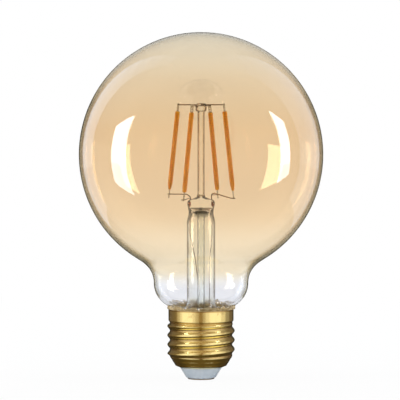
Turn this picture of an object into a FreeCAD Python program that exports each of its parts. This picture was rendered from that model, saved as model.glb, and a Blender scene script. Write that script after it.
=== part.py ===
import FreeCAD, Part
import math
import os

os.makedirs("parts", exist_ok=True)

# Globe lamp with a screw cap, in millimetres. The origin is the middle of the centre contact,
# +Z runs up the lamp's axis to the crown of the globe, and -Y is the front.

# Screw cap
cap_height = 27.2           # contact face to rim
sheet = 0.3                 # rolled brass
collar_r = 12.7
collar_length = 5.0         # rim to the groove above the thread
groove_slope = 0.6          # height over which the collar steps in to the groove
thread_major_r = 13.15
thread_minor_r = 12.15
thread_pitch = 3.629
thread_length = 13.4        # groove to the last of the thread
thread_runout = 1.2
thread_crest_drop = 1.5     # groove to the first crest on the left side
shoulder_cone_r = 10.0      # where the cone under the thread turns in to the lip
shoulder_cone_height = 3.5
lip_r = 8.35                 # hole that grips the insulator
lip_rise = 0.7              # lip edge to the turn of the cone
shell_bend_r = 0.9
contact_t = 0.5
contact_r = 5.2
contact_pin_r = 0.9
contact_pin_proud = 1.0     # pin end above the insulator
insulator_tip_r = 5.7
insulator_boss_height = 3.6
board_slot_depth = 1.5
fit = 0.04                  # clearance of pieces that are pushed or rolled together

# Glass globe and neck
globe_d = 95.0
glass_wall = 0.8
neck_r = 18.4
neck_fillet_r = 10.0        # globe to neck
bowl_r = 10.0               # neck down to the cap
neck_lift = 0.4             # rim to the lower end of the neck's last fillet
neck_end_fillet_r = 0.8
neck_end_depth = 3.7        # straight neck end below the rim
cement_gap = 0.5            # cement between the neck end and the collar
bead_overhang = 0.6         # squeezed-out cement beyond the collar

# Stem
stem_r = 5.55
stem_wall = 0.9
stem_lift = 0.6             # neck end to the flare's lower edge
tube_length = 35.9          # flare's upper edge to the start of the waist
waist_r = 4.85
waist_length = 4.0
waist_wall = 0.95
press_r = 5.4
press_height = 3.7          # waist to the widest place of the press
press_shoulder_r = 3.9
press_shoulder_height = 1.5
press_roof_height = 1.1     # shoulder to the foot of the rod
press_half_thickness = 2.6
stem_roof_height = 0.8      # waist to the roof of the hollow
jaw_cover = 1.1             # roof of the hollow to the flat faces of the press
stem_roof_corner_r = 1.2
dome_r = 1.5
exhaust_hole_r = 0.55
exhaust_r = 1.48
exhaust_wall = 0.45
trumpet_r = 2.15
trumpet_length = 3.4
exhaust_tip_drop = 5.6      # flare's lower edge to the sealed tip
exhaust_tip_length = 2.4
exhaust_tip_r = 0.6

# Support rod and its button
rod_r = 1.36
rod_length = 33.0
button_r = 2.15
button_height = 3.2
support_wire_d = 0.38
support_wire_cover = 0.35   # glass above the upper support wire
support_wire_tail = 0.3     # wire end beyond the tab

# Filaments. Ring of four with the front right one first, azimuths counted from +X towards the back.
ring_top_r = 9.5
ring_bottom_r = 13.9
ring_top_azimuth = -21.0
ring_bottom_azimuth = -27.5
coat_length = 30.9
coat_r = 0.87
coat_blunt_r = 0.72         # upper end
coat_blunt_length = 0.45
coat_tip_half = 0.28        # half thickness of the wedge at the lower end
coat_wedge_length = 2.6
coat_end_r = 0.6            # rounding of the lower end seen from the front
tab_t = 0.3
upper_tab_w = 1.25
upper_tab_above_wire = 0.55
upper_tab_corner_r = 0.4
wire_to_coat = 2.65         # support wire to the coated bar
tab_hole_r = 0.29
tab_hole_pitch = 1.0
lower_tab_w = 0.5
lower_tab_length = 3.3

# Leads
lead_d = 0.4
branch_d = 0.34
lead_offset = 0.2           # leads stand this far outside the shoulder's edge
lead_bend_r = 0.7
lead_depth = 0.9            # nickel lead below the shoulder of the press
lead_rise_left = 0.9        # top of the upright part above the shoulder
lead_rise_right = 1.9
branch_drop = 0.3           # branch below the top of the upright part
left_hump = (-1.5, 1.1, 1.0)
right_hump = (0.9, -0.5, 0.5)
weld_drop_front = 2.9       # coated bar to the crossing of arm and tab
weld_drop_back = 1.8
arm_run = 2.2               # level end of an arm before its tab
sloped_arm_run = 1.0        # the same on the arm that slopes down from the right lead
arm_tail = 0.9              # arm end beyond the tab
seal_wire_d = 0.36
seal_wire_drop = 0.2        # start of the waist down to the joint with the tail
tail_wire_d = 0.32
tail_bend_r = 4.0
tail_right_mid = (3.3, 0.4)
tail_right_low = (3.4, 1.0)
tail_left_mid = (-1.9, 1.6)
tail_left_low = (-0.9, 2.2)
tail_straight = 4.0         # upright part below the joint with the seal wire
tail_mid_height = 20.0      # flare's upper edge to the middle of a tail's route
tail_low_height = 8.0       # the same to the lower bend of a tail's route
tail_foot_rise = 4.0        # upright end of a tail above the board

# Driver in the cap
board_w = 15.0
board_h = 13.0
board_t = 1.0
board_y = 4.5
tail_pad_x = 3.5
rectifier_size = (4.7, 2.4, 4.0)
rectifier_x = 4.2
chip_size = (3.9, 1.6, 4.9)
chip_x = -1.6
chips_lift = 3.0            # insulator's top to the chips
capacitor_r = 2.9
capacitor_length = 10.0
fuse_r = 1.1
fuse_length = 6.2
fuse_edge = 1.9             # board's edge to the middle of the fuse
fuse_lift = 1.3             # level run of the live wire to the fuse
inner_wire_d = 0.5
inner_wire_bend_r = 0.6
live_wire_rise = 0.9        # contact pin to the level run of the live wire
neutral_wire_lift = 7.0
neutral_wire_gap = 0.1

shell_rows = 110
shell_columns = 48

# Levels that follow from the sizes
groove_z = cap_height - collar_length
thread_end_z = groove_z - thread_length
shoulder_z = thread_end_z - shoulder_cone_height
lip_z = shoulder_z - lip_rise
boss_z = lip_z + sheet + insulator_boss_height
neck_end_r = collar_r - sheet - fit - cement_gap
neck_end_inner_r = neck_end_r - glass_wall
neck_end_z = cap_height - neck_end_depth
globe_r = globe_d / 2
bowl_centre_r = neck_r - bowl_r
neck_end_top = cap_height + neck_lift
end_fillet_centre_r = neck_end_r + neck_end_fillet_r
neck_z = neck_end_top + math.sqrt(
    (bowl_r + neck_end_fillet_r) ** 2 - (end_fillet_centre_r - bowl_centre_r) ** 2)
neck_fillet_centre_r = neck_r + neck_fillet_r
globe_z = neck_z + math.sqrt((globe_r + neck_fillet_r) ** 2 - neck_fillet_centre_r ** 2)

flare_low_z = neck_end_z + stem_lift
flare_top_z = flare_low_z + stem_wall
bell_r = neck_end_inner_r - stem_r
tube_top_z = flare_top_z + tube_length
waist_z = tube_top_z + waist_length
press_z = waist_z + press_height
press_shoulder_z = press_z + press_shoulder_height
press_top_z = press_shoulder_z + press_roof_height
stem_roof_z = waist_z + stem_roof_height
button_z = press_top_z + rod_length
button_top_z = button_z + button_height
outer_wire_z = button_top_z - support_wire_cover - support_wire_d / 2
inner_wire_z = outer_wire_z - support_wire_d - fit

lead_x = press_shoulder_r + lead_offset
lead_joint_z = press_shoulder_z - lead_depth
seal_wire_x = waist_r - waist_wall / 2
tail_joint_z = tube_top_z - seal_wire_drop

board_foot_z = boss_z - board_slot_depth
board_top_z = board_foot_z + board_h
board_front_y = board_y - board_t / 2
board_back_y = board_y + board_t / 2
pin_top_z = boss_z + contact_pin_proud
fuse_x = fuse_edge - board_w / 2
drill_length = 2 * (stem_r + press_r)


def vec(x, y, z):
    return FreeCAD.Vector(x, y, z)


def on_profile(r, z):
    """Point of a turned outline, drawn in the XZ plane."""
    return vec(r, 0, z)


def polar(radius, azimuth, z):
    """Point at a radius and an azimuth in degrees, counted from +X towards +Y."""
    angle = math.radians(azimuth)
    return vec(radius * math.cos(angle), radius * math.sin(angle), z)


def line(start, end):
    return Part.makeLine(start, end)


def arc_about(centre, start, end):
    """Arc about a centre from start to end, the short way round."""
    radius = (start - centre).Length
    middle = centre + ((start - centre) + (end - centre)).normalize() * radius
    return Part.Arc(start, middle, end).toShape()


def s_curve(start, end):
    """Two equal arcs from start to end, both ends running along Z."""
    rise = end.z - start.z
    step = end.x - start.x
    radius = (rise * rise + step * step) / (4 * step)
    middle = (start + end) * 0.5
    first = arc_about(start + vec(radius, 0, 0), start, middle)
    second = arc_about(end - vec(radius, 0, 0), middle, end)
    return [first, second]


def turned(edges):
    """Closed outline in the XZ plane, turned about Z into a solid."""
    outline = Part.Wire(Part.__sortEdges__(edges))
    return Part.Face(outline).revolve(vec(0, 0, 0), vec(0, 0, 1), 360)


def closed_polygon(points):
    return [line(a, b) for a, b in zip(points, points[1:] + points[:1])]


def box(x, y, z, size_x, size_y, size_z):
    """Block whose centre is at x, y and whose foot is at z."""
    return Part.makeBox(size_x, size_y, size_z, vec(x - size_x / 2, y - size_y / 2, z))


def rod_between(start, end, radius):
    return Part.makeCylinder(radius, (end - start).Length, start, end - start)


def rounded_path(points, bend_r):
    """Straight runs joined by tangent arcs of one radius."""
    edges = []
    start = points[0]
    for before, corner, after in zip(points, points[1:], points[2:]):
        back = (before - corner).normalize()
        ahead = (after - corner).normalize()
        half_angle = back.getAngle(ahead) / 2
        setback = bend_r / math.tan(half_angle)
        bisector = (back + ahead).normalize()
        centre = corner + bisector * (bend_r / math.sin(half_angle))
        arc_start = corner + back * setback
        arc_end = corner + ahead * setback
        edges.append(line(start, arc_start))
        edges.append(arc_about(centre, arc_start, arc_end))
        start = arc_end
    edges.append(line(start, points[-1]))
    return Part.Wire(edges)


def bent_wire(points, diameter, bend_r):
    """Round wire along a path of straight runs and bends."""
    path = rounded_path(points, bend_r)
    section = Part.Wire(Part.makeCircle(diameter / 2, points[0], points[1] - points[0]))
    return path.makePipeShell([section], True, False)


def save(name, shape):
    solids = shape.Solids
    result = solids[0] if len(solids) == 1 else shape
    if not result.isValid():
        raise ValueError(name + " is not a valid solid")
    result.exportStep("parts/" + name + ".step")
    print(name, len(solids), round(result.Volume, 3))


# Glass envelope: globe, neck fillet, bowl and straight neck end, with an even wall
def envelope_outline(inset):
    """Open outline from the crown to the neck end, set in from the outside by a distance."""
    globe_centre = on_profile(0, globe_z)
    fillet_centre = on_profile(neck_fillet_centre_r, neck_z)
    bowl_centre = on_profile(bowl_centre_r, neck_z)
    end_centre = on_profile(end_fillet_centre_r, neck_end_top)
    crown = on_profile(0, globe_z + globe_r - inset)
    to_fillet = (fillet_centre - globe_centre).normalize()
    globe_end = globe_centre + to_fillet * (globe_r - inset)
    neck = on_profile(neck_r - inset, neck_z)
    to_end = (end_centre - bowl_centre).normalize()
    bowl_end = bowl_centre + to_end * (bowl_r - inset)
    straight_start = on_profile(neck_end_r - inset, neck_end_top)
    straight_end = on_profile(neck_end_r - inset, neck_end_z)
    edges = [
        arc_about(globe_centre, crown, globe_end),
        arc_about(fillet_centre, globe_end, neck),
        arc_about(bowl_centre, neck, bowl_end),
        arc_about(end_centre, bowl_end, straight_start),
        line(straight_start, straight_end),
    ]
    return edges, crown, straight_end


outer_edges, outer_crown, outer_end = envelope_outline(0)
inner_edges, inner_crown, inner_end = envelope_outline(glass_wall)
glass_envelope = turned(
    outer_edges + inner_edges + [line(outer_crown, inner_crown), line(outer_end, inner_end)])
axis_foot = on_profile(0, neck_end_z)
filled_envelope = turned(outer_edges + [line(outer_end, axis_foot), line(axis_foot, outer_crown)])
save("glass_envelope", glass_envelope)

# Basing cement: ring around the neck end and a rounded bead over the rim
cement_outer_r = collar_r - sheet - fit
bead_r = collar_r + bead_overhang
bead_top_z = neck_z - math.sqrt(bowl_r ** 2 - (bead_r - bowl_centre_r) ** 2)
bead_foot = on_profile(collar_r, cap_height)
bead_top = on_profile(bead_r, bead_top_z)
bead_side = on_profile(bead_r, (cap_height + bead_top_z) / 2)
cement_section = [
    on_profile(neck_end_inner_r, neck_end_z),
    on_profile(cement_outer_r, neck_end_z),
    on_profile(cement_outer_r, cap_height),
    bead_foot,
]
cement_edges = [line(a, b) for a, b in zip(cement_section, cement_section[1:])]
cement_edges.append(Part.Arc(bead_foot, bead_side, bead_top).toShape())
cement_edges.append(line(bead_top, on_profile(neck_end_inner_r, bead_top_z)))
cement_edges.append(line(on_profile(neck_end_inner_r, bead_top_z), cement_section[0]))
save("basing_cement", turned(cement_edges).cut(filled_envelope))

# Screw shell: one rolled sheet with collar, thread, shoulder and lip
shell_corners = [
    on_profile(collar_r, cap_height),
    on_profile(collar_r, groove_z + groove_slope),
    on_profile(thread_minor_r, groove_z),
    on_profile(thread_minor_r, thread_end_z),
    on_profile(shoulder_cone_r, shoulder_z),
    on_profile(lip_r, lip_z),
]


def smooth_step(value):
    value = min(max(value, 0.0), 1.0)
    return value * value * (3 - 2 * value)


def thread_height(azimuth, z):
    """Height of the rolled thread over its root: a cosine wave along a right-hand helix."""
    from_top = smooth_step((groove_z - z) / thread_runout)
    from_end = smooth_step((z - thread_end_z) / thread_runout)
    crest_z = groove_z - thread_crest_drop + thread_pitch * (azimuth - math.pi) / (2 * math.pi)
    wave = 0.5 + 0.5 * math.cos(2 * math.pi * (z - crest_z) / thread_pitch)
    return (thread_major_r - thread_minor_r) * from_top * from_end * wave


def shell_face(inset):
    """Skin of the shell, set in from the outside: smooth rows of points round the axis."""
    rows = rounded_path(shell_corners, shell_bend_r).discretize(Number=shell_rows)
    step = 2 * math.pi / shell_columns
    ring_gain = 3 / (2 + math.cos(step))
    poles = []
    for number, point in enumerate(rows):
        before = rows[max(number - 1, 0)]
        after = rows[min(number + 1, shell_rows - 1)]
        along = (after - before).normalize()
        r = point.x + along.z * inset
        z = point.z - along.x * inset
        ring = []
        for column in range(shell_columns):
            azimuth = column * step
            radius = (r + thread_height(azimuth, z)) * ring_gain
            ring.append(polar(radius, math.degrees(azimuth), z))
        poles.append(ring)
    spans = shell_rows - 3
    skin = Part.BSplineSurface()
    skin.buildFromPolesMultsKnots(
        poles,
        [4] + [1] * (spans - 1) + [4],
        [1] * (shell_columns + 1),
        list(range(spans + 1)),
        list(range(shell_columns + 1)),
        False, True, 3, 3)
    return skin.toShape()


def ring_edge(face, highest):
    """Upper or lower closed edge of a skin."""
    rings = [edge for edge in face.Edges if edge.BoundBox.ZLength < sheet / 2]
    rings.sort(key=lambda edge: edge.BoundBox.ZMax)
    return rings[-1] if highest else rings[0]


outer_skin = shell_face(0)
inner_skin = shell_face(sheet)
rim_face = Part.makeRuledSurface(ring_edge(outer_skin, True), ring_edge(inner_skin, True))
lip_face = Part.makeRuledSurface(ring_edge(outer_skin, False), ring_edge(inner_skin, False))
sewn = Part.makeShell([outer_skin, inner_skin, rim_face, lip_face])
sewn.sewShape()
screw_shell = Part.makeSolid(sewn)
if screw_shell.Volume < 0:
    screw_shell.reverse()
save("screw_shell", screw_shell)

# Cap insulator: cone below the lip, boss inside the shell, bore for the pin, slot for the board
lip_slope = lip_rise / (shoulder_cone_r - lip_r)
boss_r = shoulder_cone_r - shell_bend_r
lip_stretch = math.sqrt(1 + lip_slope ** 2)
insulator_neck_r = lip_r - sheet * lip_slope / lip_stretch - fit
lip_top_z = lip_z + sheet * lip_stretch + fit
boss_edge_z = lip_top_z + lip_slope * (boss_r - insulator_neck_r)
insulator = turned(closed_polygon([
    on_profile(0, contact_t),
    on_profile(insulator_tip_r, contact_t),
    on_profile(insulator_neck_r, lip_z),
    on_profile(insulator_neck_r, lip_top_z),
    on_profile(boss_r, boss_edge_z),
    on_profile(boss_r, boss_z),
    on_profile(0, boss_z),
]))
pin_bore = rod_between(vec(0, 0, 0), vec(0, 0, boss_z + drill_length), contact_pin_r + fit)
board_slot = box(0, board_y, board_foot_z, board_w, board_t, board_h)
save("cap_insulator", insulator.cut(pin_bore).cut(board_slot))

# Centre contact: disc and pin, turned in one piece
contact = turned(closed_polygon([
    on_profile(0, 0),
    on_profile(contact_r, 0),
    on_profile(contact_r, contact_t),
    on_profile(contact_pin_r, contact_t),
    on_profile(contact_pin_r, pin_top_z),
    on_profile(0, pin_top_z),
]))
save("centre_contact", contact)

# Stem: flare tube with a bell foot, a waist and a pressed top that is solid above the hollow
bell_z = flare_top_z + bell_r
bell_centre = on_profile(neck_end_inner_r, bell_z)
press_corner_step = press_r - press_shoulder_r
press_corner_r = (press_corner_step ** 2 + press_shoulder_height ** 2) / (2 * press_corner_step)
hollow_r = waist_r - waist_wall
hollow_corner_z = stem_roof_z - stem_roof_corner_r
roof_corner_r = hollow_r - stem_roof_corner_r
rod_foot = on_profile(rod_r, press_top_z)
shoulder = on_profile(press_shoulder_r, press_shoulder_z)
widest = on_profile(press_r, press_z)
waist = on_profile(waist_r, waist_z)
tube_top = on_profile(stem_r, tube_top_z)
tube_foot = on_profile(stem_r, bell_z)
bell_top = on_profile(neck_end_inner_r, flare_top_z)
bell_low = on_profile(neck_end_inner_r, flare_low_z)
hollow_foot = on_profile(stem_r - stem_wall, bell_z)
hollow_top = on_profile(stem_r - stem_wall, tube_top_z)
hollow_waist = on_profile(hollow_r, hollow_corner_z)
roof_edge = on_profile(roof_corner_r, stem_roof_z)
dome_foot = on_profile(dome_r, stem_roof_z)
dome_top = on_profile(0, stem_roof_z + dome_r)
press_top = on_profile(0, press_top_z)
stem = turned([
    line(press_top, rod_foot),
    line(rod_foot, shoulder),
    arc_about(on_profile(press_r - press_corner_r, press_z), shoulder, widest),
    *s_curve(widest, waist),
    *s_curve(waist, tube_top),
    line(tube_top, tube_foot),
    arc_about(bell_centre, tube_foot, bell_top),
    line(bell_top, bell_low),
    arc_about(bell_centre, bell_low, hollow_foot),
    line(hollow_foot, hollow_top),
    *s_curve(hollow_top, hollow_waist),
    arc_about(on_profile(roof_corner_r, hollow_corner_z), hollow_waist, roof_edge),
    line(roof_edge, dome_foot),
    arc_about(on_profile(0, stem_roof_z), dome_foot, dome_top),
    line(dome_top, press_top),
])


def press_jaw(side):
    """Wedge that flattens the press from the front or the back."""
    top_z = press_top_z + drill_length
    section = [
        vec(-drill_length, side * waist_r, waist_z),
        vec(-drill_length, side * press_half_thickness, stem_roof_z + jaw_cover),
        vec(-drill_length, side * press_half_thickness, top_z),
        vec(-drill_length, side * drill_length, top_z),
        vec(-drill_length, side * drill_length, waist_z),
    ]
    return Part.Face(Part.Wire(closed_polygon(section))).extrude(vec(2 * drill_length, 0, 0))


exhaust_hole_z = stem_roof_z + dome_r / 2
exhaust_hole = rod_between(vec(0, 0, exhaust_hole_z), vec(0, drill_length, exhaust_hole_z), exhaust_hole_r)
stem = stem.cut(press_jaw(1)).cut(press_jaw(-1)).cut(exhaust_hole)

# Exhaust tube: trumpet mouth fused to the roof of the hollow, sealed tip in the cap
trumpet_end_z = stem_roof_z - trumpet_length
tip_z = flare_low_z - exhaust_tip_drop
tip_start_z = tip_z + exhaust_tip_length
exhaust_bore_r = exhaust_r - exhaust_wall
mouth = on_profile(trumpet_r, stem_roof_z)
neck_of_trumpet = on_profile(exhaust_r, trumpet_end_z)
bore_top = on_profile(exhaust_bore_r, trumpet_end_z)
tip_start = on_profile(exhaust_r, tip_start_z)
tip_edge = on_profile(exhaust_tip_r, tip_z)
bore_foot = on_profile(exhaust_bore_r, tip_start_z)
bore_end = on_profile(0, tip_start_z - exhaust_bore_r)
exhaust_tube = turned([
    line(dome_foot, mouth),
    *s_curve(mouth, neck_of_trumpet),
    line(neck_of_trumpet, tip_start),
    line(tip_start, tip_edge),
    line(tip_edge, on_profile(0, tip_z)),
    line(on_profile(0, tip_z), bore_end),
    arc_about(on_profile(0, tip_start_z), bore_end, bore_foot),
    line(bore_foot, bore_top),
    *s_curve(bore_top, dome_foot),
])
save("exhaust_tube", exhaust_tube)

# Support rod with the button that holds the two support wires
button_edge_r = button_r - rod_r
button_side_low = on_profile(button_r, button_z + button_edge_r)
button_side_high = on_profile(button_r, button_top_z - button_edge_r)
button_roof = on_profile(rod_r, button_top_z)
button_foot = on_profile(rod_r, button_z)
rod = turned([
    line(press_top, rod_foot),
    line(rod_foot, button_foot),
    arc_about(on_profile(rod_r, button_z + button_edge_r), button_foot, button_side_low),
    line(button_side_low, button_side_high),
    arc_about(on_profile(rod_r, button_top_z - button_edge_r), button_side_high, button_roof),
    line(button_roof, on_profile(0, button_top_z)),
    line(on_profile(0, button_top_z), press_top),
])


def support_wire(azimuth, z):
    reach = ring_top_r + support_wire_tail
    return rod_between(polar(reach, azimuth + 180, z), polar(reach, azimuth, z), support_wire_d / 2)


support_wires = {
    "outer": support_wire(ring_top_azimuth, outer_wire_z),
    "inner": support_wire(ring_top_azimuth + 90, inner_wire_z),
}
for name, wire in support_wires.items():
    rod = rod.cut(wire)
    save("support_wire_" + name, wire)
save("support_rod", rod)

# Filaments: coated bar with a wedge at its lower end, perforated upper tab and narrow lower tab
ring = [
    ("front_right", "outer", outer_wire_z, weld_drop_front, lead_d, sloped_arm_run),
    ("back_right", "inner", inner_wire_z, weld_drop_back, branch_d, arm_run),
    ("back_left", "outer", outer_wire_z, weld_drop_back, lead_d, arm_run),
    ("front_left", "inner", inner_wire_z, weld_drop_front, branch_d, arm_run),
]


def coated_bar():
    """Bar along Z from its lower end at the origin, flat sides towards Y."""
    round_end = on_profile(coat_r, coat_end_r)
    flat_end = on_profile(coat_r - coat_end_r, 0)
    blunt_start = on_profile(coat_r, coat_length - coat_blunt_length)
    blunt_end = on_profile(coat_blunt_r, coat_length)
    bar = turned([
        line(on_profile(0, 0), flat_end),
        arc_about(on_profile(coat_r - coat_end_r, coat_end_r), flat_end, round_end),
        line(round_end, blunt_start),
        line(blunt_start, blunt_end),
        line(blunt_end, on_profile(0, coat_length)),
        line(on_profile(0, coat_length), on_profile(0, 0)),
    ])
    for side in (1, -1):
        section = [
            vec(-coat_r, side * coat_tip_half, 0),
            vec(-coat_r, side * coat_r, coat_wedge_length),
            vec(-coat_r, side * coat_r, 0),
        ]
        wedge = Part.Face(Part.Wire(closed_polygon(section))).extrude(vec(2 * coat_r, 0, 0))
        bar = bar.cut(wedge)
    return bar


def upper_tab():
    """Strip above the coated bar with two open holes under the one that the wire fills."""
    wire_height = coat_length + wire_to_coat
    strip = box(0, 0, coat_length, upper_tab_w, tab_t, wire_to_coat + upper_tab_above_wire)
    top_corners = [
        edge for edge in strip.Edges
        if edge.BoundBox.ZMin > wire_height and edge.BoundBox.YLength > tab_t / 2
    ]
    strip = strip.makeFillet(upper_tab_corner_r, top_corners)
    for number in (1, 2):
        hole_z = wire_height - number * tab_hole_pitch
        strip = strip.cut(rod_between(vec(0, -tab_t, hole_z), vec(0, tab_t, hole_z), tab_hole_r))
    return strip


def lower_tab():
    return box(0, 0, -lower_tab_length, lower_tab_w, tab_t, lower_tab_length)


def placed(shape, placement):
    copy = shape.copy()
    copy.Placement = placement
    return copy


arm_ends = {}
for number, (name, wire_name, wire_z, weld_drop, arm_d, level_run) in enumerate(ring):
    wire_point = polar(ring_top_r, ring_top_azimuth + 90 * number, wire_z)
    end_azimuth = ring_bottom_azimuth + 90 * number
    spread = polar(ring_bottom_r, end_azimuth, wire_z) - wire_point
    drop = math.sqrt((wire_to_coat + coat_length) ** 2 - spread.Length ** 2)
    end = polar(ring_bottom_r, end_azimuth, wire_z - drop)
    up = (wire_point - end).normalize()
    outwards = polar(1, end_azimuth, 0)
    across = outwards.cross(up).normalize()
    facing = up.cross(across)
    place = FreeCAD.Placement(end, FreeCAD.Rotation(across, facing, up, "ZXY"))
    save("led_filament_" + name, placed(coated_bar(), place))
    save("upper_tab_" + name, placed(upper_tab(), place).cut(support_wires[wire_name]))
    save("lower_tab_" + name, placed(lower_tab(), place))
    level = across.cross(vec(0, 0, 1)) * -1
    beside_tab = end - up * weld_drop + across * ((lower_tab_w + arm_d) / 2)
    arm_ends[name] = [beside_tab - level * level_run, beside_tab + level * arm_tail]

# Nickel leads, each bent into one arm, with a branch wire as the other arm
leads = {}
for side, sign, rise, hump, own_arm, other_arm in (
    ("left", -1, lead_rise_left, left_hump, "back_left", "front_left"),
    ("right", 1, lead_rise_right, right_hump, "front_right", "back_right"),
):
    foot = vec(sign * lead_x, 0, lead_joint_z)
    top = vec(sign * lead_x, 0, press_shoulder_z + rise)
    lead = bent_wire([foot, top, top + vec(*hump)] + arm_ends[own_arm], lead_d, lead_bend_r)
    branch_start = top - vec(0, 0, branch_drop)
    branch = bent_wire([branch_start] + arm_ends[other_arm], branch_d, lead_bend_r)
    save("inner_lead_" + side, lead)
    save("branch_wire_" + side, branch.cut(lead))
    leads[side] = lead

# Thin seal wires through the press and copper tails down to the board
tail_routes = [
    ("left", -1, tail_left_mid, tail_left_low),
    ("right", 1, tail_right_mid, tail_right_low),
]
for side, sign, middle, low in tail_routes:
    joint = vec(sign * lead_x, 0, lead_joint_z)
    at_waist = vec(sign * seal_wire_x, 0, waist_z)
    tail_joint = vec(sign * seal_wire_x, 0, tail_joint_z)
    bend_start = joint - vec(0, 0, lead_depth)
    seal_wire = bent_wire([joint, bend_start, at_waist, tail_joint], seal_wire_d, lead_bend_r)
    save("seal_wire_" + side, seal_wire)
    stem = stem.cut(seal_wire).cut(leads[side])
    pad = vec(sign * tail_pad_x, board_y, board_top_z)
    tail = bent_wire([
        tail_joint,
        tail_joint - vec(0, 0, tail_straight),
        vec(*middle, flare_top_z + tail_mid_height),
        vec(*low, flare_top_z + tail_low_height),
        pad + vec(0, 0, tail_foot_rise),
        pad,
    ], tail_wire_d, tail_bend_r)
    save("tail_wire_" + side, tail)
save("stem_flare", stem)

# Driver: board in its slot, chips on its front, capacitor behind it, fuse and wires
save("driver_board", box(0, board_y, board_foot_z, board_w, board_t, board_h))
chips_z = boss_z + chips_lift
for name, x, size in (("bridge_rectifier", rectifier_x, rectifier_size), ("driver_chip", chip_x, chip_size)):
    save(name, box(x, board_front_y - size[1] / 2, chips_z, *size))
capacitor_foot = vec(0, board_back_y + capacitor_r, boss_z)
save("smoothing_capacitor", Part.makeCylinder(capacitor_r, capacitor_length, capacitor_foot))
level_run_z = pin_top_z + live_wire_rise
fuse_foot = vec(fuse_x, board_front_y - fuse_r, level_run_z + fuse_lift)
save("fuse_resistor", Part.makeCylinder(fuse_r, fuse_length, fuse_foot))
save("live_wire", bent_wire([
    vec(0, 0, pin_top_z),
    vec(0, 0, level_run_z),
    vec(fuse_foot.x, fuse_foot.y, level_run_z),
    fuse_foot,
], inner_wire_d, inner_wire_bend_r))
wall_r = thread_minor_r - sheet - neutral_wire_gap
neutral_end_x = math.sqrt(wall_r ** 2 - (board_y + inner_wire_d / 2) ** 2)
neutral_z = boss_z + neutral_wire_lift
save("neutral_wire", rod_between(
    vec(board_w / 2, board_y, neutral_z), vec(neutral_end_x, board_y, neutral_z), inner_wire_d / 2))
print("lamp length", round(globe_z + globe_r, 3))
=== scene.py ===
"""Looks of a globe lamp: amber blown glass, four LED filaments on a glass stem, and a brass screw cap.

Lengths of the lamp are written in millimetres, as on a drawing, and turned into metres when a mesh is made.
Z points up along the lamp's axis, the centre contact stands at the origin, and the camera looks along +Y.
"""

import logging
from dataclasses import dataclass, field
from enum import Enum
from typing import Any, Mapping, Sequence

import bpy
import numpy as np
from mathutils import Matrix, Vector


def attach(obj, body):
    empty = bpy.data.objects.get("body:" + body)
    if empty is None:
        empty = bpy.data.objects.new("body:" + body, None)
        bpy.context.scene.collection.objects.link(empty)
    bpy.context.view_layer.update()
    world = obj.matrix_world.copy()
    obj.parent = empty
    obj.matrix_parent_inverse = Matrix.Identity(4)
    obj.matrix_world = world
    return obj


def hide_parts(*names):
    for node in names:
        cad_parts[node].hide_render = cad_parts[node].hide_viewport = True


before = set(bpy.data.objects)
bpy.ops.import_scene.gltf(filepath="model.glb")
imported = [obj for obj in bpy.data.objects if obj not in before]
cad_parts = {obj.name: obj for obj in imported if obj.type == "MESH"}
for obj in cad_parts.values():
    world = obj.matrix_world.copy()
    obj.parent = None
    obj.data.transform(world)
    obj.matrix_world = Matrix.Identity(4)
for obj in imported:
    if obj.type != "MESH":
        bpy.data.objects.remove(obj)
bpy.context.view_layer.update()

MM = 0.001
BODY = "root"
LOG = logging.getLogger("globe_lamp")

WHITE = "#ffffff"
BLACK = "#000000"
PLAIN_RIM = "#bcbcbc"  # half of white in linear light, which stands for a painted dark edge of plain width
FULL_TURN = 2.0 * np.pi
AXIS_R = 0.05  # mm from the axis at which an outline ends
GLASS_IOR = 1.5
NOISE_BAND = (0.3, 0.7)  # where most of a noise pattern lies
MULTIPLY = {"data_type": "RGBA", "blend_type": "MULTIPLY"}

Stops = tuple[tuple[float, str], ...]
Steps = tuple[tuple[float, float], ...]
Pair = tuple[float, float]
Waves = Sequence[tuple[float, float, float]]
Tree = bpy.types.NodeTree
Socket = bpy.types.NodeSocket


class Label(Enum):
    """Named option that also stands in the names of nodes, pieces and lamps."""

    @property
    def label(self) -> str:
        """Name in small letters."""
        return self.name.lower()


class Side(Label):
    """Left and right of the lamp as the camera sees it."""

    LEFT = -1
    RIGHT = 1


class Corner(Label):
    """The four filaments, in order round the axis from the front right one."""

    FRONT_RIGHT = 0
    BACK_RIGHT = 1
    BACK_LEFT = 2
    FRONT_LEFT = 3


class Edge(Enum):
    """Turn in degrees above which an edge of a piece stays sharp."""

    CRISP = 40.0
    PLAIN = 50.0
    SOFT = 60.0


class Linking(Enum):
    """What a lamp does with the pieces that it is linked to."""

    ONLY = "INCLUDE"
    WITHOUT = "EXCLUDE"


def linear(hex_colour: str) -> tuple[float, float, float, float]:
    """Turns an sRGB hex colour, such as "#c08a3a", into the linear RGBA that shaders take."""
    coded = np.array([int(hex_colour[i:i + 2], 16) for i in (1, 3, 5)]) / 255.0
    return (*np.where(coded <= 0.04045, coded / 12.92, ((coded + 0.055) / 1.055) ** 2.4).tolist(), 1.0)


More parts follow.
